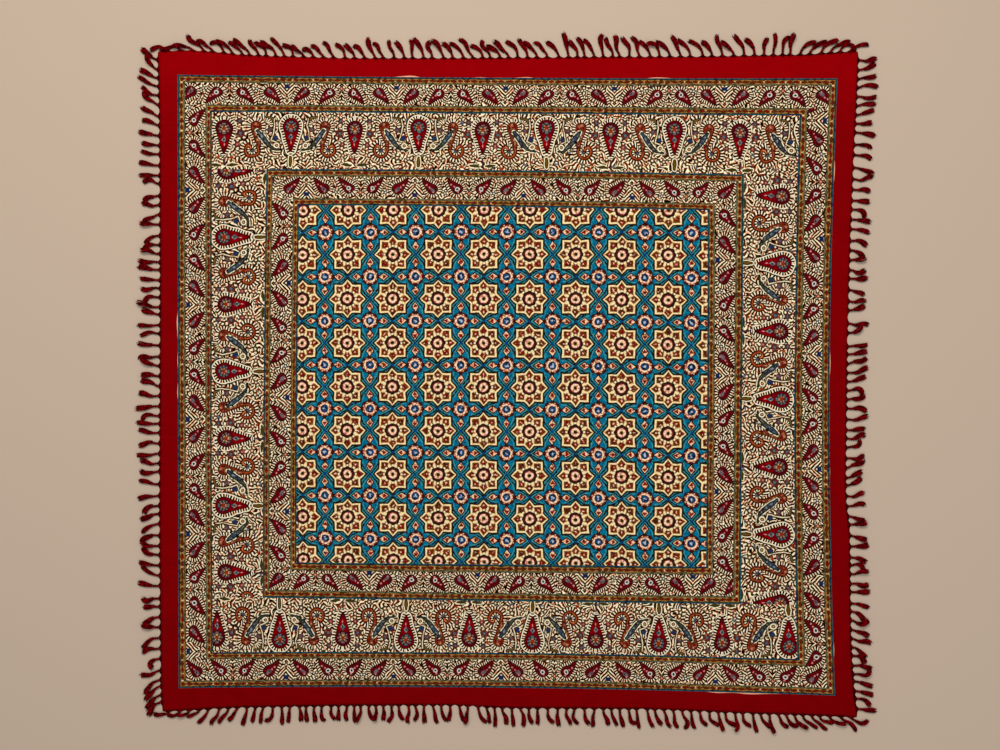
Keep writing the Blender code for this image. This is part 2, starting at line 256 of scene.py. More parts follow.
class Ink:
    # one output of a node; sums and products of inks are Math nodes
    def __init__(self, dye, node, output=0):
        self.dye = dye
        self.node = node
        self.output = output

    def __getitem__(self, output):
        # another output of the same node
        return Ink(self.dye, self.node, output)

    __add__ = __radd__ = worked("ADD")
    __mul__ = __rmul__ = __and__ = worked("MULTIPLY")
    __sub__, __rsub__ = worked("SUBTRACT"), worked("SUBTRACT", swapped=True)
    __lt__, __gt__ = worked("LESS_THAN"), worked("GREATER_THAN")
    __mod__, __abs__ = worked("FLOORED_MODULO"), worked("ABSOLUTE")
    least, most, fold = worked("MINIMUM"), worked("MAXIMUM"), worked("PINGPONG")
    root, sine, cosine, arc = worked("SQRT"), worked("SINE"), worked("COSINE"), worked("ARCTAN2")
    __or__ = most

    def __neg__(self):
        return self * -1

    def __invert__(self):
        return 1 - self

    def line(self, slope, start, clamp=False):
        return self.dye.math("MULTIPLY_ADD", self, slope, start, clamp=clamp)

    def within(self, edge=0, blur=0.5):
        # 1 where the distance is below the edge, soft over the blur: clamp((edge - d) / blur + 1/2)
        return self.line(-1 / blur, edge / blur + 0.5, clamp=True)

    def between(self, low, high, blur=0.5):
        return self.within(high, blur) & ~self.within(low, blur)

    def turn(self, level, under, over, sharp=6):
        # one colour turns to another where this passes a level
        return self.dye.mix((self - level) * sharp, under, over)

    def choose(self, yes, no):
        # yes where this is 1, no where it is 0
        return self.line(yes - no, no)


class Dye:
    # one material, the nodes that colour it, and the colour laid so far
    def __init__(self, name, colour=None):
        self.material = bpy.data.materials.new(name)
        self.material.use_nodes = True
        self.tree = self.material.node_tree
        self.tree.nodes.clear()
        self.colour = colour

    def node(self, kind, settings=None, values=None):
        # any node: its settings first, then the values or links of its sockets
        made = self.tree.nodes.new(kind)
        for key, value in (settings or {}).items():
            setattr(made, key, value)
        for key, value in (values or {}).items():
            if isinstance(value, Ink):
                self.tree.links.new(value.node.outputs[value.output], made.inputs[key])
            else:
                made.inputs[key].default_value = value
        return Ink(self, made)

    def math(self, operation, *terms, clamp=False):
        return self.node("ShaderNodeMath", {"operation": operation, "use_clamp": clamp},
                         dict(enumerate(terms)))

    def parts(self, whole, kind="Color"):
        split = self.node("ShaderNodeSeparate" + kind, values={0: whole})
        return [split[k] for k in range(3)]

    def noise(self, place, scale, detail=2, rough=0.5, space="3D"):
        return self.node("ShaderNodeTexNoise", {"noise_dimensions": space},
                         {"Vector": place, "Scale": scale, "Detail": detail, "Roughness": rough})

    def flatPlace(self, u, v):
        return self.node("ShaderNodeCombineXYZ", values={0: u, 1: v})

    def flatNoise(self, u, v, scale, detail=1):
        return self.noise(self.flatPlace(u, v), scale, detail, space="2D")

    def chances(self, u, v, scale, detail=1):
        # three separate noises of one size
        return self.parts(self.flatNoise(u, v, scale, detail)["Color"])

    def drawing(self, reach=0, size=0.15):
        # the print's own coordinates in steps, wandering slowly as hand-set blocks do
        u, v, _ = self.parts(self.node("ShaderNodeUVMap", {"uv_map": "print"}), "XYZ")
        if reach:
            first, second, _ = self.chances(u, v, size)
            u, v = u + (first - 0.5) * reach, v + (second - 0.5) * reach
        return u, v

    def mix(self, share, under, over):
        return self.node("ShaderNodeMix", {"data_type": "RGBA"},
                         {0: share, 6: tint(under), 7: tint(over)})[2]

    def shade(self, colour, factor):
        return self.node("ShaderNodeVectorMath", {"operation": "SCALE"}, {0: colour, "Scale": factor})

    def lay(self, mask, over):
        # a colour over the ones laid so far
        self.colour = self.mix(mask, self.colour, over)

    def rounds(self, distance, *rounds):
        # colours inside one another, each within its edge of a distance: (edge, colour, blur)
        for edge, over, *blur in rounds:
            self.lay(distance.within(edge, *blur), over)

    def strokes(self, strokes, light):
        # light strokes whose edges turn brown, where the ink around them bleeds into the cotton
        self.lay(strokes * 2, (148, 72, 28))
        self.lay(strokes * 2 - 1, light)

    def finish(self, rough, specular, sheen=0, relief=None):
        # the shader; relief is its bump's height, strength and distance
        values = {"Base Color": self.colour, "Roughness": rough, "Metallic": 0,
                  "Specular IOR Level": specular, "Sheen Weight": sheen}
        if relief:
            sockets = zip(("Height", "Strength", "Distance"), relief)
            values["Normal"] = self.node("ShaderNodeBump", values=dict(sockets))
        shader = self.node("ShaderNodeBsdfPrincipled", values=values)
        self.node("ShaderNodeOutputMaterial", values={0: shader})
        return self.material

    def cotton(self, wear=0.14):
        # uneven ink and the weave over the print
        place = self.node("ShaderNodeTexCoord")["Object"]
        grain = self.noise(place, 620, rough=0.7)
        fade = (self.noise(place, 9, 3, 0.6) - 0.5) * wear + (grain - 0.5) * 0.22 + 1
        self.colour = self.shade(self.colour, fade)
        return self.finish(0.92, 0.01, 0.003, (grain, 0.35, 0.0006))


def length(x, y):
    return (x * x + y * y).root()


def comb(place, pitch, share=0.41, crisp=3):
    # strokes across a path, cream over a share of each pitch:
    # clamp(crisp * (sin(2 pi place / pitch) - cos(pi share)) + 1/2)
    wave = (place * (2 * math.pi / pitch)).sine()
    return wave.line(crisp, 0.5 - crisp * math.cos(math.pi * share), clamp=True)


def drop(x, y, big, small, tail, rim):
    # distance to a round head of radius big with a tail to a tip of radius small, and the place along
    # its outline: rim * atan2(x, -y) round the head, then straight on beside the tail
    slope = (big - small) / tail
    flat = math.sqrt(1 - slope ** 2)
    run = y * flat - x * slope
    side = x * flat + y * slope - big
    tip = length(x, y - tail) - small
    onHead = run < 0
    distance = onHead.choose(length(x, y) - big, (run > flat * tail).choose(tip, side))
    turned = x.arc(-y) * rim
    return distance, onHead.choose(turned, run + rim * (math.pi / 2 + math.asin(slope)))


def reed(x, y, knots):
    # distance to a bent stroke through knots of (x, y, half-width): the least over its lengths of
    # |p - start - way * share| - halfWidth(share)
    whole = None
    for (startX, startY, startHalf), (endX, endY, endHalf) in zip(knots, knots[1:]):
        wayX, wayY = endX - startX, endY - startY
        square = wayX ** 2 + wayY ** 2
        px, py = x - startX, y - startY
        share = px.line(wayX / square, py * (wayY / square), clamp=True)
        part = length(share.line(-wayX, px), share.line(-wayY, py))
        part = part - share.line(endHalf - startHalf, startHalf)
        whole = part if whole is None else whole.least(part)
    return whole


def flower(dye, x, y, spot, fleck):
    # a small flower: a cream comb, a dark line, petals cut by cos(petals * angle), and its heart
    centreX, centreY, size, petals, petal, heart = spot
    dx, dy = x - centreX, y - centreY
    far = length(dx, dy)
    wave = (dy.arc(dx) * petals).cosine()
    petal = dye.mix((fleck - 0.56) * 7, petal, (180, 98, 66))
    dye.rounds(far - wave * (0.12 * size), (size + 1.3, dye.mix(wave.within(0.1, 0.6), "bark", "milk")),
               (size + 0.2, "bark"), (size - 0.5, petal))
    dye.rounds(far, (size * 0.46, "bark", 0.8), (size * 0.32, heart, 0.8))


def sprigs(dye, u, v, size=0.092):
    # block-cut ground about scattered points: daisies, with petals sin(5 * angle) and farther out
    # sin(9 * angle), and ferns, with strokes off a stem at a chance angle, sin(2 pi (s + 0.7 |t|) / 3.6)
    first, second, _ = dye.chances(u, v, 0.13, 0)
    place = dye.flatPlace(u + (first - 0.5) * 4, v + (second - 0.5) * 4)
    cells = dye.node("ShaderNodeTexVoronoi", {"voronoi_dimensions": "2D", "feature": "F1"},
                     {"Vector": place, "Scale": size, "Randomness": 0.85})
    away = dye.node("ShaderNodeVectorMath", {"operation": "SUBTRACT"}, {0: place, 1: cells["Position"]})
    x, y, _ = dye.parts(away, "XYZ")
    tone = dye.parts(cells["Color"])
    far = length(x, y)
    turn = y.arc(x) + far * 0.12
    petals = (far < 3.9).choose((turn * 5).sine(), (turn * 9 + 0.8).sine())
    daisy = petals.line(3.6, 0.1, clamp=True) & ~far.between(3.6, 4.2)
    lean = tone[2] * math.pi
    leanX, leanY = lean.cosine(), lean.sine()
    offStem = abs(y * leanX - x * leanY)
    fern = comb(x * leanX + y * leanY + offStem * 0.7, 3.6, 0.43) & ~offStem.within(0.4, 0.6)
    return (tone[1] > 0.42).choose(fern, daisy & ~far.within(1.5, 0.6)), far, tone


def printGround(dye, u, v, strokes, dry):
    # cream strokes on bark in uneven tints; a lower dry leaves more of the dark rusty
    first, second, third = dye.chances(u, v, 0.3)
    dye.colour = dye.mix((first - dry) * 7, (14, 4, 0), dye.mix(third > 0.5, (118, 26, 8), (56, 38, 8)))
    dye.strokes(strokes, second.turn(0.51, (255, 242, 198), (244, 172, 120), 7))


def redBorder():
    # plain red with painted shade, darker down the sides and darkest to the front, with bare slivers where
    # the outer guard missed its edge
    border = {"left": 18.7, "right": 671.5, "top": 26.5, "bottom": 638}
    dye = Dye("red border")
    u, v = dye.drawing()
    gap = (border["left"] - u).most(u - border["right"]).most((border["top"] - v).most(v - border["bottom"]))
    # painted shade: depth is highest along the back, lower down the sides and lowest to the front; the two
    # noises added to it are uneven dye
    depth = v.within(50, 60) * 0.21 + v.within(420, 440) * 0.1 + 0.53
    depth = depth + dye.flatNoise(u, v, 0.05, 2) * 0.15 + dye.flatNoise(u * 0.12, v, 0.45) * 0.14
    dye.colour = dye.shade(tint("red")[:3], depth)
    dye.lay(gap < (dye.flatNoise(u, v, 0.021) - 0.64) * 10, "peach")
    return dye.cotton(wear=0.16)


# a guard in steps: its width, the middle of its gold rows and the pitch of its red beads
guard = {"wide": 7, "middle": 3.6, "pitch": 6.9}


def guardStripe(name, blueOutside):
    # gold rows about a brown one with red beads, between thin lines; the blue one faces off the paisleys
    dye = Dye(name)
    u, v = dye.drawing(1.4, 0.2)
    first, second, third = dye.chances(u, v, 0.25, 2)
    d = u.least(v) if blueOutside else guard["wide"] - u.least(v)
    off = abs(d - guard["middle"])
    cell = abs(u.most(v) % guard["pitch"] - guard["pitch"] / 2)
    dye.colour = first.turn(0.48, (176, 120, 54), (62, 64, 28))
    dye.lay(off.within(1), second.turn(0.5, (120, 74, 36), (66, 40, 18)))
    between = (guard["pitch"] / 2 - cell) + off * 1.3
    dye.lay(between.within(1.5, 1) & ((third - 0.49) * 7), (240, 196, 142))
    red = third.turn(0.46, (126, 14, 6), (88, 44, 14))
    dye.rounds(cell * 0.74 + off * 1.5 + (second - 0.5) * 2.4, (2.5, "bark", 0.7), (1.7, red, 0.7))
    blue = first.turn(0.48, (30, 80, 84), (28, 34, 74))
    dye.rounds(d, (1.8, (14, 24, 16)), (1.1, blue, 0.6))
    sage = second.turn(0.45, (122, 120, 86), (50, 70, 50))
    dye.rounds(-d, (-5.5, "bark", 0.4), (-5.9, sage, 0.4), (-6.6, "bark", 0.4))
    return dye.cotton()


def narrowBand():
    # pairs of leaning paisleys about a flower axis, repeated and mirrored; lengths in steps
    paisley = {"half": 53.85, "first": 11.8, "gap": 24.8, "deep": 8.4, "lean": (0.8, 0.6),
               "drop": (4.4, 0.8, 12.4, 7.2), "pitch": 2.35,
               "flowers": [(0, 4.2, 2.3, 5, "rust", "peach"), (24.4, 4.4, 2, 5, "slate", "cream"),
                           (29.6, 16.6, 1.9, 5, "rust", "cream"),
                           (4.4, 17.6, 1.7, 5, (60, 70, 40), "cream")],
               "edgeFlower": (0, 14.6, 1.9, 5, "rust", "milk")}
    dye = Dye("narrow paisley band")
    u, v = dye.drawing(1.6, 0.14)
    first, second, third = dye.chances(u, v, 0.42)
    a = u.fold(paisley["half"])
    edge = paisley["half"] - a
    plain = a > 24.6
    x = a - (plain * paisley["gap"] + paisley["first"])
    y = v - (paisley["deep"] - plain * 0.5)
    leanX, leanY = paisley["lean"]
    along, across = x * leanX + y * leanY, x * leanY - y * leanX
    body, place = drop(abs(across + along * along * 0.014), along, *paisley["drop"])

    # ground: sprigs, chevrons about both axes, and small flowers
    chevron = (a < 8).choose(v * 0.66 - a * 0.75, v * 0.66 + edge * 0.75)
    near = (a < 4.6) | (edge < 7.5)
    printGround(dye, u, v, near.choose(comb(chevron, 2.6), sprigs(dye, u, v, 0.12)[0]), 0.5)
    dye.rounds(edge.most(abs(v - 2.2) * 1.2), (2.6, "navy", 0.8))
    dye.rounds(a.most(abs(v - 13) * 0.25), (0.8, "bark"))
    for spot in paisley["flowers"]:
        flower(dye, a, v, spot, second)
    flower(dye, edge, v, paisley["edgeFlower"], second)

    # a round of teeth, the paisleys and what they hold
    tooth = first.turn(0.5, (255, 238, 200), (230, 166, 126))
    skin = second.turn(0.46, (112, 0, 12), (66, 6, 10))
    dye.rounds(body, (5.1, "bark"))
    dye.strokes(body.between(1.2, 4.5) & comb(place, paisley["pitch"]), tooth)
    dye.rounds(body, (1.1, (36, 22, 12)), (0.1, skin))
    dye.lay(body.between(-1.9, -1.1) & (first > 0.5), (52, 16, 20))
    lobes = abs(across - 0.4) * 1.3 + (abs(along + 0.4) - 1.4).most(0)
    worn = first.turn(0.5, (104, 104, 104), (44, 22, 28), 7)
    dye.rounds(plain.choose(lobes, length(x, y)), (2.6, dye.mix(plain, "black", (60, 34, 40)), 0.6),
               (2.2, dye.mix(plain, (222, 212, 196), (120, 84, 84)), 0.6),
               (1.2, dye.mix(plain, (6, 22, 20), worn), 0.6))
    bead = abs(across).most(abs(abs(along - 5.6) - 1.7)).least(length(across - 1.8, along + 2.6))
    dye.rounds(bead + (third - 0.5) * 1.6, (0.7, (214, 136, 126)))
    return dye.cotton()


def wideBand():
    # teardrops A and B in turn, an S-shaped boteh with a reed leaf between them, mirrored about each
    # drop; lengths in steps, strokes from knot to knot
    band = {"half": 64.4, "deep": 14, "later": 2.2, "pitch": 2.65, "drop": (7.5, 0.8, 23.2, 9.6),
            "head": (34.6, 14.2), "foot": (31.6, 33), "ring": (38, 37.8),
            "hook": [(42.4, 33.4, 1), (39.8, 33.8, 0.9), (38.6, 36.2, 0.7)],
            "fern": [(18, 9.6, 0.3), (20.2, 5.6, 0.7), (26, 4.4, 0.3)],
            "sprout": [(3.4, 53.4, 0.7), (7.6, 52.8, 1.5), (12.6, 52.6, 0.5)],
            "leaf": [(33.2, 18.4, 0.9), (29, 24, 2.1), (24, 31, 1.8), (18.8, 36, 1.1), (11.6, 37.8, 0.5)],
            "vine": [(17.4, 6.4, 0.5), (16.4, 13, 0.5), (18.2, 23, 0.5), (19.8, 27.8, 0.5), (15, 29.6, 0.5),
                     (11.6, 32, 0.5)],
            "stem": [(0, 45, 0.4), (0, 49, 1.2), (0, 53.6, 0.5)],
            "flowers": [(49.2, 21.2, 4.6, 7, (92, 34, 26), "slate"),
                        (50, 8.8, 3.2, 6, (78, 38, 38), "slate"),
                        (51.8, 32.4, 2.9, 6, (104, 36, 30), "rose"), (52.6, 43, 2.4, 5, "rust", "cream"),
                        (22, 45.6, 2.8, 5, "olive", "milk"), (21.6, 17.4, 3, 5, (88, 48, 48), "slate"),
                        (37.4, 52.2, 2.4, 5, "olive", "milk"), (10.6, 46.2, 2.4, 5, (120, 56, 24), "milk"),
                        (42, 3.6, 2.2, 5, "olive", "milk")]}
    dye = Dye("wide paisley band")
    u, v = dye.drawing(1.7, 0.12)
    first, second, third = dye.chances(u, v, 0.38)
    a = u.fold(band["half"])
    b = band["half"] - a
    isB = a > b
    x = a.least(b)
    y = v - (isB * band["later"] + band["deep"])
    tooth = third.turn(0.5, (255, 242, 206), (252, 188, 136))

    # ground and its small flowers
    strokes, far, tone = sprigs(dye, u, v)
    printGround(dye, u, v, strokes, 0.45)
    dye.lay(far.within(1.5, 0.7) & (tone[0] > 0.5), dye.mix(tone[1] > 0.7, "rust", "slate"))
    for spot in band["flowers"]:
        flower(dye, a, v, spot, second)

    # a fern over the leaf, sprouts at the foot of B
    turn = (a - 26).arc(v - 12) * 7.4
    dye.rounds(reed(a, v, band["fern"]), (3.9, dye.mix(comb(turn, band["pitch"]), "bark", tooth)),
               (0.9, "bark"), (0.1, (104, 80, 34)))
    sprout = reed(b, v, band["sprout"])
    dye.lay(sprout.within(1.1) & ((first - 0.36) * 6), "milk")
    dye.rounds(sprout, (0.3, (60, 50, 16)))

    # the S boteh: a leaning head on a stem that curls into an open ring
    (headX, headY), (footX, footY) = band["head"], band["foot"]
    reach = math.hypot(footX - headX, footY - headY)
    wayX, wayY = (footX - headX) / reach, (footY - headY) / reach
    px, py = a - headX, v - headY
    run, off = px * wayX + py * wayY, px * wayY - py * wayX
    body, place = drop(abs(off), run, 4.7, 1.2, reach, 7.8)
    ringX, ringY = a - band["ring"][0], v - band["ring"][1]
    away, turned = length(ringX, ringY), ringY.arc(ringX)
    ring = (abs(away - 6.5) - 0.95).most(-((a - 41).most(v - 34.2))).least(reed(a, v, band["hook"]))
    boteh = ring.least(body)
    stitch = (ring < body).choose(turned * 8.9, place)
    inner = comb(turned * 4, band["pitch"]) & away.between(2.4, 4.6)
    dye.rounds(boteh, (4.6, "bark"))
    dye.strokes(boteh.between(0.8, 4.3) & comb(stitch, band["pitch"]), tooth)
    dye.rounds(away, (5, dye.mix(inner, "bark", tooth), 0.3))
    dye.rounds(length(a - 37.4, v - 38.6), (1.6, (70, 70, 76), 0.8))
    dye.rounds(boteh, (0.8, "bark"), (0, second.turn(0.5, (142, 40, 14), (86, 24, 10))))
    patch = (first - 0.48) * 7
    dye.rounds(body, (-1, dye.mix(run.within(5, 4), dye.mix(patch, (96, 48, 26), (196, 142, 98)),
                                  dye.mix(patch, (112, 18, 12), (158, 88, 58))), 0.7))
    dye.lay(boteh.within(-0.6, 0.6) & ((third - 0.52) * 7), (54, 18, 8))
    dye.lay(ring.within(-0.6, 0.6) & (away < 6.3) & ((third - 0.24) * 5), (218, 136, 68))
    dye.rounds(length(a - 35.2, v - 11.4), (1, (184, 128, 92), 0.7))
    dye.rounds(length(a - 36.4, v - 16.6), (1.5, "earth", 0.7))

    # the reed leaf beside it, with its curl
    leaf = reed(a, v, band["leaf"])
    dye.rounds(leaf, (2, "bark"))
    dye.lay(leaf.within(1.5, 0.6) & ((third - 0.38) * 6), "milk")
    dusk = dye.mix((a - 23) * 0.2, (62, 62, 44), (52, 68, 84))
    dye.rounds(leaf, (0.7, "black"), (-0.2, dye.mix(patch, dusk, (34, 30, 40))))
    dye.lay(leaf.within(-1, 0.6) & ((second - 0.55) * 7), (136, 142, 138))
    dye.rounds(reed(a, v, band["vine"]), (1.1, "bark"),
               (-0.1, third.turn(0.5, "milk", (226, 176, 124)), 0.6))
    curl = length(a - 14.6, v - 33.4)
    dye.rounds(curl, (3.4, "bark"))
    dye.lay(curl.between(1.8, 2.9), "milk")
    dye.rounds(curl, (0.8, (206, 150, 100)))
    dye.rounds(length(a - 15.6, v - 25.4), (2.6, "bark", 0.8),
               (2, dye.mix(first > 0.5, (16, 64, 84), (40, 34, 84)), 0.8))

    # the teardrops: teeth, the rim round A, and what they hold
    tear, place = drop(x, y, *band["drop"])
    dye.rounds(tear - isB.choose(5.1, 6), (0, "black"))
    dye.strokes(tear.between(0.9, 3.9) & comb(place, band["pitch"]), tooth)
    dye.lay(tear.between(3.9, 4.8) & (~isB | (first > 0.46)), (255, 240, 204))
    wine = dye.mix(isB, (102, 0, 12), (80, 4, 14))
    red = second.turn(0.5, (140, 0, 6), (86, 0, 10))
    dye.rounds(tear, (0.8, "bark"), (0.1, dye.mix(y.between(7, 19, 3), wine, red)))
    core, spin = length(x, y - 0.2), (y - 0.2).arc(x)
    petals = (spin * 9).cosine()
    beads = dye.mix(petals.within(-0.2, 0.8), dye.mix(isB, (84, 104, 108), (124, 96, 92)), (44, 26, 38))
    dye.rounds(core - petals * 0.35, (5.8, "bark"), (5.2, beads))
    dye.rounds(core, (3.9, (48, 26, 12)))
    dots = (spin * 6).sine().within(-0.1, 0.8)
    dye.lay(core.between(1.7, 3.5) & ~dots, dye.mix(isB, (176, 116, 88), (190, 150, 106)))
    dye.rounds(core, (1.4, (150, 36, 16), 0.8))
    bud = x + abs(y - 10.8) * 0.7
    dye.rounds(bud, (3, "bark"))
    dye.lay(bud.between(1.3, 2.3, 0.6), dye.mix(first > 0.5, (164, 148, 142), (92, 98, 104)))
    dye.rounds(bud, (1, (52, 60, 68), 0.6))
    dye.rounds(x * 1.8 + abs(y - 16.2) * 0.7, (1.2, (214, 136, 130), 0.7))
    stem = reed(x, v, band["stem"])
    dye.lay(stem.within(2.6) & ~isB, "bark")
    dye.lay(stem.between(1, 1.9) & ~isB, "milk")
    dye.rounds(stem, (0, dye.mix(isB, (104, 72, 20), (64, 34, 40))))
    return dye.cotton()


def starField():
    # eight-pointed stars in a square lattice, rosettes between them and leaf-shaped arms
    star = {"pitchX": 45.75, "pitchY": 44.1, "flatX": 12.9, "flatY": 13.7, "tipX": 18, "tipY": 18.6}
    dye = Dye("star lattice")
    u, v = dye.drawing(1.4, 0.12)
    first, second, third = dye.chances(u, v, 0.45)
    x, y = u.fold(star["pitchX"] / 2), v.fold(star["pitchY"] / 2)
    arms = star["pitchX"] / 2 - x
    rise = star["pitchY"] / 2 - y

    # the teal ground with lines that cross between the stars
    dye.colour = first.turn(0.5, (0, 110, 146), (0, 78, 104))
    dye.lay((second - 0.56) * 7, (14, 124, 142))
    dye.lay((third - 0.62) * 9, (16, 30, 26))
    lineX = abs(arms - (y * (math.pi / 30)).sine() * 9.3) * 0.8 + (y > 15) * 9
    lineY = abs(rise - (x * (math.pi / 27)).sine() * 7.1) * 0.8 + (x > 13.5) * 9
    line = lineX.least(lineY)
    dye.lay(line.within(1.9) & ((third - 0.36) * 5), (64, 152, 152))
    dye.rounds(line - (third - 0.5) * 2.6, (0.7, (16, 18, 12), 0.6))
    dye.rounds((arms + y).least(rise + x), (1.5, (0, 62, 126), 1.6))

    # arms of the rosettes
    lozengeX = arms * 1.1 + abs(rise - 14) * 0.8
    lozengeY = rise * 1.1 + abs(arms - 13.7) * 0.8
    lozenge = lozengeX.least(lozengeY)
    farther = (lozengeX < lozengeY).choose(rise - 14, arms - 13.7)
    neck = arms.most(abs(rise - 9.8) - 2.4).least(rise.most(abs(arms - 9.8) - 2.4))
    dye.rounds(neck, (1.6, (56, 24, 12)), (0.7, (236, 184, 128)))
    light = third.turn(0.52, (255, 210, 164), (206, 104, 68), 5)
    dye.rounds(lozenge, (5, (40, 13, 4)), (3.5, second.turn(0.52, light, (120, 32, 12))))
    dye.lay(lozenge.within(2.6, 0.6) & (-farther).within(0.6, 1),
            first.turn(0.5, (136, 8, 4), (72, 18, 8)))

    # rosettes
    far = length(arms, rise)
    wave = abs((arms.arc(rise) * 4).cosine())
    dye.rounds(far - wave * 0.7, (8.4, (42, 16, 8)),
               (7.1, dye.mix(wave.within(0.34, 0.4), (88, 20, 8), (244, 184, 138))), (5.9, (70, 22, 14)),
               (5.4, third.turn(0.5, (255, 214, 176), (190, 96, 74), 7)))
    blue = first.turn(0.46, (28, 70, 116), (8, 20, 34), 7)
    dye.rounds(far, (4, "black", 0.6), (3.2, blue, 0.6))
    dye.rounds(far - (second - 0.5) * 5, (1.2, (176, 186, 200), 0.6))

    # stars: a square and a turned square, outlined, with eight petals round a ring
    turned = (x + y * (star["tipX"] / star["tipY"]) - star["tipX"]) * 0.707
    body = (x - star["flatX"]).most(y - star["flatY"]).least(turned)
    cornerPetal = abs(x - 8).most(abs(y - 8.9)) * 1.05
    tipPetal = (x * 1.05 + abs(y - 12.4) * 0.8).least(y * 1.05 + abs(x - 11.9) * 0.8) * 0.85
    petal = cornerPetal.least(tipPetal)
    gold = dye.mix(petal.within(4.3, 0.8) & ((first - 0.42) * 6), (250, 222, 166), (170, 114, 56))
    rim = second.turn(0.54, (255, 230, 170), (238, 180, 112))
    dye.rounds(body, (1.9, (36, 18, 6)), (0.2, rim), (-1.2, gold))
    slow = (dye.flatNoise(u, v, 0.05, 0) - 0.5) * 8
    dye.rounds(petal, (3.5, third.turn(0.5, (118, 58, 10), (34, 16, 4), 7)),
               (2, dye.mix(slow, (120, 12, 10), (70, 26, 16)), 0.7))
    dye.rounds(petal + (second - 0.5) * 5, (0.5, (250, 194, 152), 0.7))
    away = length(x, y)
    around = (y.arc(x) * 8).cosine()
    near = away.between(7, 9.6)
    dye.lay(near & abs(around).within(0.35, 0.4) & ((second - 0.42) * 6), (92, 58, 20))
    dye.lay(near & (-around).within(-0.6, 0.4), (255, 232, 180))
    dye.rounds(away - around * 0.35, (7.6, first.turn(0.5, (30, 20, 6), (58, 34, 22))))
    dye.rounds(away, (5.5, second.turn(0.5, (108, 14, 22), (50, 30, 30))),
               (4.3, third.turn(0.5, (255, 216, 178), (198, 108, 86), 7)),
               (2.1, (146, 104, 44)))
    dye.rounds(away + (first - 0.5) * 2, (1.5, (26, 24, 12), 0.6))
    return dye.cotton()


def underside():
    # the back of the cloth: the dyes strike through unevenly
    dye = Dye("underside")
    patch = dye.noise(dye.node("ShaderNodeTexCoord")["Object"], 60, rough=0.6)
    dye.colour = dye.mix(patch.within(0.5, 0.2), (206, 178, 140), (178, 140, 108))
    return dye.cotton()


def yarn():
    # red yarn in uneven tints, with painted shade making it darker low down, near the floor
    dye = Dye("fringe yarn")
    place = dye.node("ShaderNodeTexCoord")["Object"]
    dye.colour = dye.mix((dye.noise(place, 260, rough=0.6) - 0.42) * 5, (54, 0, 2), (126, 0, 6))
    # painted shade: the yarn darkens below about 2.8 mm above the floor, on the hem strips and the low sides
    # of the tufts
    dye.rounds(dye.parts(place, "XYZ")[2], (0.0021, (34, 0, 1), 0.0014))
    return dye.finish(0.92, 0.02, 0.008, (dye.noise(place, 1500, rough=0.7), 0.5, 0.0005))


# frame lines of the print on the flat cut, in steps from its left and back edges. Of the strips between
# them 0 is the red border, odd ones are guards, 2, 4 and 6 the outer, wide and inner band, 8 is the field
framesX = np.array([0, 18.7, 26.5, 46.6, 53.2, 104.8, 111.4, 132, 138.4,
                    548.5, 556, 576, 584, 636, 644, 663.5, 671.5, 700])
framesY = np.array([0, 26.5, 34, 56, 63.5, 120.5, 128, 150.5, 157.5,
                    514.4, 522.5, 543, 551, 603, 610, 630.5, 638, 667.1])
# how far each guard strays from its place, in steps: at its first end, its middle and its last end
strayX = [(1, 1.5, 2), (1, 1, 1.5), (5.5, 1, 0.5), (5, 1, 0.5),
          (1, 0.5, -2), (3, 0, -1.5), (6.5, 0, 4), (8, 0, 5.5)]
strayY = [(-1.5, 1.5, 2), (-1.5, 0.5, 2.5), (-1, 0, 6.5), (-2, -0.5, 6),
          (-3.5, 0, 3.5), (-5, 0, 4), (-0.5, -0.5, 7), (0, -0.5, 7.5)]
# cells of the mesh across each strip, from the edge inwards
stripCells = [4, 2, 4, 2, 10, 2, 4, 2]
lastStrip = len(framesX) - 2


def gridLines(frames, hem, middleCells):
    # lines of the mesh and their strips; the first and last cells are the hem's width
    cells = stripCells + [middleCells] + stripCells[::-1]
    lines = [np.linspace(*frames[k:k + 2], count, endpoint=False) for k, count in enumerate(cells)]
    lines[0] = np.append(0, np.linspace(hem, frames[1], cells[0] - 1, endpoint=False))
    lines[-1] = np.append(np.linspace(frames[-2], frames[-1] - hem, cells[-1] - 1, endpoint=False),
                          frames[-1] - hem)
    strips = np.repeat(np.arange(len(cells)), [len(line) for line in lines])
    return np.append(np.concatenate(lines), frames[-1]), strips


def laidLines(frames, table, places, low, high, span):
    # laid places of all frame lines: eased edges, and each guard's two lines moved by the parabola
    # middle + (last - first) / 2 * t + ((first + last) / 2 - middle) * t^2, t from -1 to 1
    t = np.clip((places - sum(span) / 2) / (span[1] - span[0]) * 2, -1.08, 1.08)
    first, middle, last = np.array(table).T[:, :, None]
    rows = middle + (last - first) / 2 * t + ((first + last) / 2 - middle) * t ** 2
    return np.vstack([low, frames[1:-1, None] + np.repeat(rows, 2, axis=0), high])


def across(lines, frames, places):
    # one column for each place on the flat cut, read between the laid lines
    return np.array([np.interp(places, frames, line) for line in lines.T])


def wrinkles(x, y):
    # soft unevenness in metres: waves of high * sin(kx x + ky y + phase)
    waves = [(37, 12, 0.3, 0.00016), (-21, 44, 1.7, 0.00014), (63, -35, 2.9, 0.00008),
             (14, 71, 4.1, 0.00007)]
    return sum(high * np.sin(kx * x + ky * y + phase) for kx, ky, phase, high in waves)


# each band's strip and its block's repeat, then for each side its first axis on the cut, its repeat there
# and how much deeper the print sits, in steps
bandLay = {
    2: (107.7, {"top": (69.5, 110, 1), "bottom": (74, 107.8, 0.5), "left": (84.5, 115, 0),
                "right": (126, 115.5, 0.5)}),
    4: (128.8, {"top": (129, 128.7, 0), "bottom": (121.5, 126.8, -2.5), "left": (189.5, 134.4, -2.5),
                "right": (73.5, 136, -1.5)}),
    6: (107.7, {"top": (200, 109, 2), "bottom": (157.5, 108, 0), "left": (178.5, 114, 1),
                "right": (149.5, 115.7, 0.5)}),
}
innerBand = 6
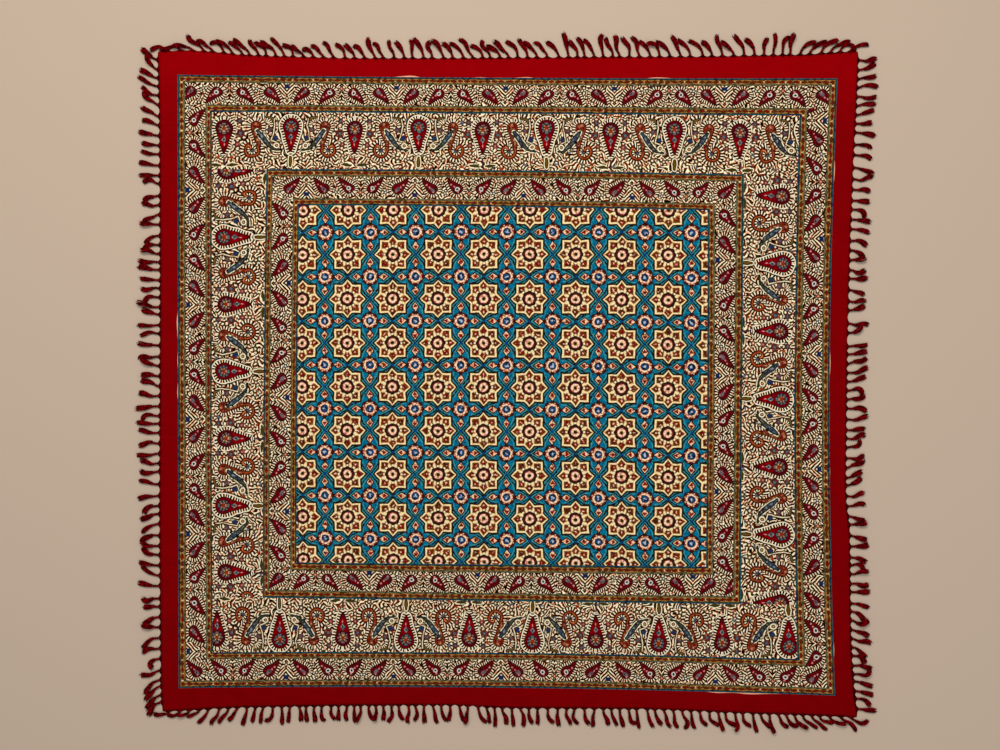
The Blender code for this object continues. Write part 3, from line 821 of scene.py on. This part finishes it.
# the star lattice: its first star, and its bow in steps for 1, p, q, p * p, p * q and q * q
field = {"star": (188.3, 204.2), "middle": (350, 335), "half": (205, 178),
         "bow": [(-0.8, 0.5, 1, 2, -0.3, 0.6), (1.2, -0.8, -0.3, 0.4, 1.7, -1.7)]}


def guardPlace(frames, ring, places):
    # 0 at a guard's outer line, its width at the inner one, then steps on to the middle, and back again
    outer, inner, farInner, farOuter = frames[[ring, ring + 1, lastStrip - ring, lastStrip + 1 - ring]]
    half = (farInner - inner) / 2
    return np.interp(places, [outer, inner, inner + half, farInner, farOuter],
                     [0, guard["wide"], guard["wide"] + half, guard["wide"], 0])


def bandPlace(side, ring, x, y):
    # along a band from its first axis, in the block's own repeat, and across it from the heads' side
    block, sides = bandLay[ring]
    first, repeat, sink = sides[side]
    upright, far = side in ("left", "right"), side in ("right", "bottom")
    frames, place, along = (framesX, x, y) if upright else (framesY, y, x)
    # the inner band is printed the other way round, its heads towards the field
    inner = ring == innerBand
    line = frames[lastStrip + 1 - ring - inner] if far else frames[ring + inner]
    deep = place - line if far == inner else line - place
    return (along - first) / repeat * block, deep - sink


def printPlaces(x, y, ringX, ringY, farX, farY):
    # print coordinates of the corners of every cell, by the cell's ring
    ring = np.minimum(ringX, ringY)
    u, v = x.copy(), y.copy()
    for k in (1, 3, 5, 7):
        cells = ring == k
        u[cells] = guardPlace(framesX, k, x[cells])
        v[cells] = guardPlace(framesY, k, y[cells])
    rows = ringY <= ringX
    for k in bandLay:
        for side, cells in (("top", rows & ~farY), ("bottom", rows & farY),
                            ("left", ~rows & ~farX), ("right", ~rows & farX)):
            cells = cells & (ring == k)
            u[cells], v[cells] = bandPlace(side, k, x[cells], y[cells])
    cells = ring == 8
    p = (x[cells] - field["middle"][0]) / field["half"][0]
    q = (y[cells] - field["middle"][1]) / field["half"][1]
    terms = np.stack([np.ones_like(p), p, q, p * p, p * q, q * q], -1)
    for places, first, bow in zip((u, v), field["star"], field["bow"]):
        places[cells] -= first + terms @ np.array(bow)
    return u, v, ring


def makeMesh(name, points, faces, materials):
    mesh = bpy.data.meshes.new(name)
    mesh.from_pydata(points, [], faces)
    mesh.shade_smooth()
    for material in materials:
        mesh.materials.append(material)
    piece = bpy.data.objects.new(name, mesh)
    bpy.context.collection.objects.link(piece)
    return piece


def dress(piece, node):
    # the piece lies still and takes the place of a plain node
    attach(piece, "root")
    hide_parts(node)
    print(piece.name + ":", len(piece.data.polygons), "faces")
    return piece


# cells across the field, the air under the sheet from some steps inside its edge, and its thickness
sheet = {"cells": (80, 70), "lift": 0.0004, "settle": 14, "thick": 0.0011, "hemThick": 0.0006}
# places in the baked picture: the top fills it but for a strip at its foot for the underside
bake = {"margin": 0.004, "top": (0.992, 0.952), "start": (0, 0.04), "under": (0.992, 0.026),
        "rim": [(0.002, 0.001), (0.003, 0.001), (0.003, 0.002), (0.002, 0.002)]}


def makeCloth():
    hemSteps = cloth["hem"] / step
    columns, stripX = gridLines(framesX, hemSteps, sheet["cells"][0])
    rows, stripY = gridLines(framesY, hemSteps, sheet["cells"][1])
    wide, deep = len(columns), len(rows)
    shareX, shareY = columns / framesX[-1], rows / framesY[-1]

    # laid places: every frame line eased and strayed, every column between its two lines
    linesX = laidLines(framesX, strayX, rows, ease("left", shareY) / step,
                       framesX[-1] - ease("right", shareY) / step, framesY[[1, -2]])
    linesY = laidLines(framesY, strayY, columns, ease("back", shareX) / step,
                       framesY[-1] - ease("front", shareX) / step, framesX[[1, -2]])
    x = across(linesX, framesX, columns) * step - cloth["width"] / 2
    y = cloth["depth"] / 2 - across(linesY, framesY, rows).T * step
    edge = np.minimum(np.minimum(columns, framesX[-1] - columns)[None, :],
                      np.minimum(rows, framesY[-1] - rows)[:, None])
    settle = np.clip(edge / sheet["settle"], 0, 1)
    top = cloth["top"] + rippleHeight(x, y) + settle * (sheet["lift"] + wrinkles(x, y))
    thick = np.where(edge > hemSteps + 0.01, sheet["thick"], sheet["hemThick"])
    points = np.stack([np.stack([x + shift[0], y + shift[1], height], -1) for height in (top, top - thick)])

    # corners of each cell, clockwise on the cut, so from above the face runs the other way
    i, j = np.meshgrid(np.arange(wide - 1), np.arange(deep - 1))
    cornerI = np.stack([i, i, i + 1, i + 1], -1).reshape(-1, 4)
    cornerJ = np.stack([j, j + 1, j + 1, j], -1).reshape(-1, 4)
    upper = cornerJ * wide + cornerI
    lower = upper[:, ::-1] + wide * deep
    stripX, stripY = stripX[i].ravel(), stripY[j].ravel()
    u, v, ring = printPlaces(columns[cornerI], rows[cornerJ], np.minimum(stripX, lastStrip - stripX),
                             np.minimum(stripY, lastStrip - stripY), stripX > 8, stripY > 8)
    border = np.concatenate([np.arange(wide), np.arange(1, deep) * wide + wide - 1,
                             (deep - 1) * wide + np.arange(wide - 2, -1, -1),
                             np.arange(deep - 2, 0, -1) * wide])
    after = np.roll(border, -1)
    rim = np.stack([border, after, after + wide * deep, border + wide * deep], -1)
    faces = np.concatenate([upper, lower, rim])

    # slots: red border, guards with their blue line outside or inside, narrow, wide, field, underside
    materials = [redBorder(), guardStripe("guard, blue outside", True),
                 guardStripe("guard, blue inside", False),
                 narrowBand(), wideBand(), starField(), underside()]
    print("dyes mixed:", [len(material.node_tree.nodes) for material in materials], "nodes")
    slotOf = np.array([0, 1, 3, 2, 4, 1, 3, 2, 5])
    slots = np.concatenate([slotOf[ring], np.full(len(lower), 6), np.zeros(len(rim), dtype=int)])
    printed = np.concatenate([np.stack([u, v], -1), np.zeros((len(lower) + len(rim), 4, 2))])
    spread = np.stack([columns[cornerI] / framesX[-1], 1 - rows[cornerJ] / framesY[-1]], -1)
    baked = np.concatenate([bake["margin"] + spread * bake["top"] + bake["start"],
                            bake["margin"] + spread[:, ::-1] * bake["under"],
                            np.tile(bake["rim"], (len(rim), 1, 1))])
    piece = makeMesh("printed_cloth", points.reshape(-1, 3), faces, materials)
    piece.data.polygons.foreach_set("material_index", slots)
    for name, places in (("print", printed), ("OFBake", baked)):
        piece.data.uv_layers.new(name=name).uv.foreach_set("vector", places.ravel())
    return piece


# how the yarn lies looser than the strands, in degrees and mm: swing to its tip, sway in waves along it,
# a hook at the end of every sixth, a lean at the cloth's corners that fades over a span of strands, and
# how near two come before one is raised; and how full the tufts are
loose = {"swing": 15, "sway": 22, "waves": 1.1, "hooked": 6, "hook": 85, "near": 3.4, "raise": 3,
         "corner": {"back": 34, "front": 30, "left": 16, "right": 10}, "span": 3.5,
         "fullness": {"back": 1.18, "front": 1.02, "left": 1.28, "right": 1.32}}


def loosened(side, paths, number):
    # every step turns by swing * s + sway * sin(2 pi (waves * s + chance)) + hook * (2 s - 1)^1.5, and
    # towards a corner by corner * exp(-strands to it / span)
    moves = np.diff(paths, axis=1)
    shares = (np.arange(strand["steps"]) + 0.5) / strand["steps"]
    swing, sway, chance, hooked = scatter(number[:, None], np.array([21, 22, 23, 24])).T[:, :, None]
    hooked = (number[:, None] % loose["hooked"] == 3) * np.sign(hooked)
    sway = loose["sway"] * sway * np.sin(2 * np.pi * (loose["waves"] * shares + chance))
    turn = loose["swing"] * swing * shares + sway * np.minimum(shares * 4, 1)
    turn = turn + loose["hook"] * hooked * np.clip(2 * shares - 1, 0, 1) ** 1.5
    first, last = number - number[0], number[-1] - number
    lean = loose["corner"][side] * (np.exp(-first / loose["span"]) - np.exp(-last / loose["span"]))
    along = paths[-1, 0] - paths[0, 0]
    outward = moves[len(moves) // 2, 0]
    sense = np.sign(along[0] * outward[1] - along[1] * outward[0])
    turn = turn + sense * lean[:, None] * np.minimum(shares * 3, 1)
    cosine, sine = np.cos(np.radians(turn)), np.sin(np.radians(turn))
    turned = np.stack([moves[..., 0] * cosine - moves[..., 1] * sine,
                       moves[..., 0] * sine + moves[..., 1] * cosine], -1)
    start = paths[:, :1]
    return np.concatenate([start, start + np.cumsum(turned, axis=1)], axis=1)


def raisedStrands(paths):
    # 1 for a strand that lies over the one before it, else 0
    over = np.zeros(len(paths))
    for index in range(1, len(paths)):
        apart = np.linalg.norm(paths[index, 10:, None] - paths[index - 1, None, 10:], axis=2)
        if apart.min() < loose["near"] * mm and over[index - 1] == 0:
            over[index] = 1
    return over


def onPath(paths, shares):
    # places and unit ways of shares along the centre lines, straight on beyond their ends
    place = np.clip(shares, 0, 1) * strand["steps"]
    low = np.minimum(place.astype(int), strand["steps"] - 1)
    row = np.arange(len(paths))[:, None]
    move = paths[row, low + 1] - paths[row, low]
    beyond = shares * strand["steps"] - low
    return paths[row, low] + move * beyond[..., None], move / np.linalg.norm(move, axis=-1, keepdims=True)


def tubes(paths, over, shares, aside, high, radii, around):
    # yarns beside the centre lines: place + left * (aside + radius * cos(turn)), at the height
    # high + radius * sin(turn); a strand over another rises in its middle by raise * t * t * (3 - 2 t)
    places, ways = onPath(paths, shares)
    rise = np.clip(shares * 3 - 0.9, 0, 1)
    high = high + loose["raise"] * mm * over[:, None] * rise * rise * (3 - 2 * rise)
    turn = 2 * np.pi * (np.arange(around) + 0.5) / around
    left = np.stack([-ways[..., 1], ways[..., 0]], -1)
    out = aside[..., None] + radii[..., None] * np.cos(turn)
    flat = places[..., None, :] + left[..., None, :] * out[..., None]
    points = np.concatenate([flat, (high[..., None] + radii[..., None] * np.sin(turn))[..., None]], -1)
    index = np.arange(points[..., 0].size).reshape(points.shape[:-1])
    after = np.roll(index, -1, axis=2)
    walls = np.stack([index[:, :-1], after[:, :-1], after[:, 1:], index[:, 1:]], -1).reshape(-1, 4)
    caps = np.concatenate([index[:, 0, ::-1], index[:, -1, :]])
    return points.reshape(-1, 3), [walls, caps]


def neckPlies(paths, number, over):
    # two plies round each other: left by grip * cos(phase), up by 0.55 * grip * sin(phase)
    shares = np.tile(np.linspace(-0.03, 0.5, 15), (len(paths), 1))
    grip = np.interp(shares, [0, 0.1, 0.34, 0.5], [1.35, 1, 1.15, 1.6]) * mm
    radii = np.interp(shares, [-0.03, 0.08, 0.34, 0.5], [1.35, 1.12, 1.2, 1.5]) * mm
    groups = []
    for ply in (0, np.pi):
        phase = 2 * np.pi * 2.6 * shares / 0.45 + ply + 3 * scatter(number, 11)[:, None]
        high = 0.002 + 0.55 * grip * np.sin(phase) + 0.0006 * np.clip(shares, 0, 1)
        groups.append(tubes(paths, over, shares, grip * np.cos(phase), high, radii, 6))
    return groups


# a tuft's yarns, where they start and their rings, and its width and height in mm at shares of the strand
tuft = {"yarns": 11, "start": 0.36, "rings": 9}
tuftForm = np.array([(0.36, 3.2, 2.6), (0.5, 4.4, 3.6), (0.66, 5.6, 4.2), (0.88, 6.4, 4.4), (1, 5.4, 3.2)])


def tuftYarns(paths, number, over, fullness):
    # yarns about a core, round an oval: left 0.76 w/2 cos(turn), up 0.55 h/2 sin(turn), wandering a little
    def halfSize(shares):
        return [np.interp(shares, tuftForm[:, 0], tuftForm[:, k]) * mm / 2 for k in (1, 2)]

    fuller = fullness * (1 + 0.16 * scatter(number, 12)[:, None])
    shares = np.tile(np.linspace(tuft["start"], 0.95, 7), (len(paths), 1))
    core = halfSize(shares)[1] * np.minimum(fuller, 1)
    groups = [tubes(paths, over, shares, 0 * shares, core + 0.0003, core * 0.72, 8)]
    for q in range(tuft["yarns"]):
        end = 1 + 0.055 * scatter(number * 13 + q, 13)
        shares = tuft["start"] + (end[:, None] - tuft["start"]) * np.linspace(0, 1, tuft["rings"])
        halfWide, halfHigh = halfSize(shares)
        turn = 2 * np.pi * (q + 0.3 * scatter(number * 7 + q, 14))[:, None] / tuft["yarns"]
        wander = 0.28 * mm * np.sin(9 * shares + 5 * scatter(number * 5 + q, 15)[:, None])
        high = halfHigh * np.minimum(fuller, 1) * (1.02 + 0.55 * np.sin(turn)) + 0.0003
        radii = np.interp(shares, [tuft["start"], 0.55, 0.9, 1.05], [0.7, 0.85, 0.85, 0.6]) * mm
        groups.append(tubes(paths, over, shares, halfWide * fuller * 0.76 * np.cos(turn) + wander,
                            np.maximum(high, radii + 0.0001), radii, 5))
    return groups


def frayedEnds(paths, number, over):
    # loose fibres that leave the tuft's end and spread
    groups = []
    way = np.linspace(0, 1, 4)
    for q in range(4):
        reach = 1.04 + 0.05 * (1 + scatter(number * 3 + q, 16))
        shares = 0.9 + (reach[:, None] - 0.9) * way
        aside, spread, rise = [scatter(number + q * many, channel)[:, None]
                               for many, channel in ((17, 17), (29, 18), (41, 19))]
        radii = np.tile((0.3 - 0.18 * way) * mm, (len(paths), 1))
        groups.append(tubes(paths, over, shares, mm * (2 * aside + 1.6 * spread * way ** 2),
                            0.0014 + 0.0008 * rise + 0 * shares, radii, 3))
    return groups


# the hem's scallops: columns, reach and fall in steps, the rest in metres
hem = {"columns": 1000, "reach": 4.2, "fall": 1.9, "gap": 0.0003, "inside": 0.0034,
       "heights": (0.00006, 0.00054)}


def hemScallops(side, roots, paths):
    # a flat strip under the hem whose edge rises to each strand: out = reach * exp(-gap / fall)
    shares = np.linspace(0.0005, 0.9995, hem["columns"])
    gaps = np.abs(shares[:, None] - roots[None, :])
    gap = gaps.min(axis=1) * sideLength(side) / step
    start = paths[:, 3] - paths[:, 0]
    way = (start / np.linalg.norm(start, axis=1, keepdims=True))[gaps.argmin(axis=1)]
    out = hem["reach"] * step * np.exp(-gap / hem["fall"]) + hem["gap"]
    outer, inner = sidePoint(side, shares, 0) + way * out[:, None], sidePoint(side, shares, hem["inside"])
    low, high = hem["heights"]
    ring = np.stack([np.column_stack([line, np.full(len(line), height)])
                     for line, height in ((outer, low), (outer, high), (inner, high), (inner, low))], 1)
    if side in ("front", "right"):
        ring = ring[::-1]
    index = np.arange(ring[..., 0].size).reshape(-1, 4)
    after = np.roll(index, -1, axis=1)
    walls = np.stack([index[:-1], index[1:], after[1:], after[:-1]], -1).reshape(-1, 4)
    return ring.reshape(-1, 3), [walls, index[:1], index[-1:, ::-1]]


def makeFringe(side, material):
    roots, paths = fringeLines[side]
    number = np.arange(len(roots)) + 100 * list(sideWays).index(side)
    groups = [hemScallops(side, roots, paths)]
    paths = loosened(side, paths, number)
    over = raisedStrands(paths)
    groups += neckPlies(paths, number, over) + tuftYarns(paths, number, over, loose["fullness"][side])
    groups += frayedEnds(paths, number, over)
    points, faces = np.empty((0, 3)), []
    for grown, shells in groups:
        for shell in shells:
            faces += (shell + len(points)).tolist()
        points = np.concatenate([points, grown])
    piece = makeMesh("tassels_" + side, points + np.array([*shift, 0]), faces, [material])
    return dress(piece, "fringe_" + side)


printedCloth = dress(makeCloth(), "cloth")
yarnMaterial = yarn()
fringes = [makeFringe(side, yarnMaterial) for side in sideWays]

# floor, lights and camera
bpy.ops.mesh.primitive_plane_add(size=12, location=(0, 0, -0.0002))
floor = bpy.context.object
floor.name = "floor"
floor.data.materials.append(Dye("plain floor", tint((196, 174, 152))).finish(0.9, 0.2))

cloth["width"]
cloth["depth"]


def softBox(name, place, aim, size, power, colour):
    light = bpy.data.lights.new(name, "AREA")
    light.shape = "RECTANGLE"
    light.size, light.size_y = size
    light.energy = power
    light.color = colour
    lamp = bpy.data.objects.new(name, light)
    lamp.location = place
    x, y, z = np.array(aim) - np.array(place)
    lamp.rotation_euler = (math.atan2(math.hypot(x, y), -z), 0, math.atan2(x, -y) + math.pi)
    bpy.context.collection.objects.link(lamp)


softBox("key", (-0.3, 1.3, 2.1), (0, 0.05, 0), (1.4, 1), 39, (1, 0.97, 0.93))
softBox("fill", (0.9, -0.9, 2.4), (0, 0, 0), (2.2, 2), 15, (0.96, 0.98, 1))

world = bpy.data.worlds.new("studio")
bpy.context.scene.world = world
world.use_nodes = True
sky = world.node_tree.nodes["Background"]
sky.inputs["Color"].default_value = (0.9, 0.93, 1, 1)
sky.inputs["Strength"].default_value = 0.39

# the photograph's frame: 1000 by 750 steps, seen from straight above
photo = {"width": 1000, "height": 750, "clothMiddle": (508, 383.5)}
lens = bpy.data.cameras.new("camera")
lens.lens = 50
lens.sensor_width = 36
camera = bpy.data.objects.new("camera", lens)
camera.location = ((photo["width"] / 2 - photo["clothMiddle"][0]) * step + shift[0],
                   (photo["clothMiddle"][1] - photo["height"] / 2) * step + shift[1],
                   photo["width"] * step / lens.sensor_width * lens.lens)
bpy.context.collection.objects.link(camera)
bpy.context.scene.camera = camera
bpy.context.scene.view_settings.view_transform = "Standard"
print("floor, lights and camera placed")
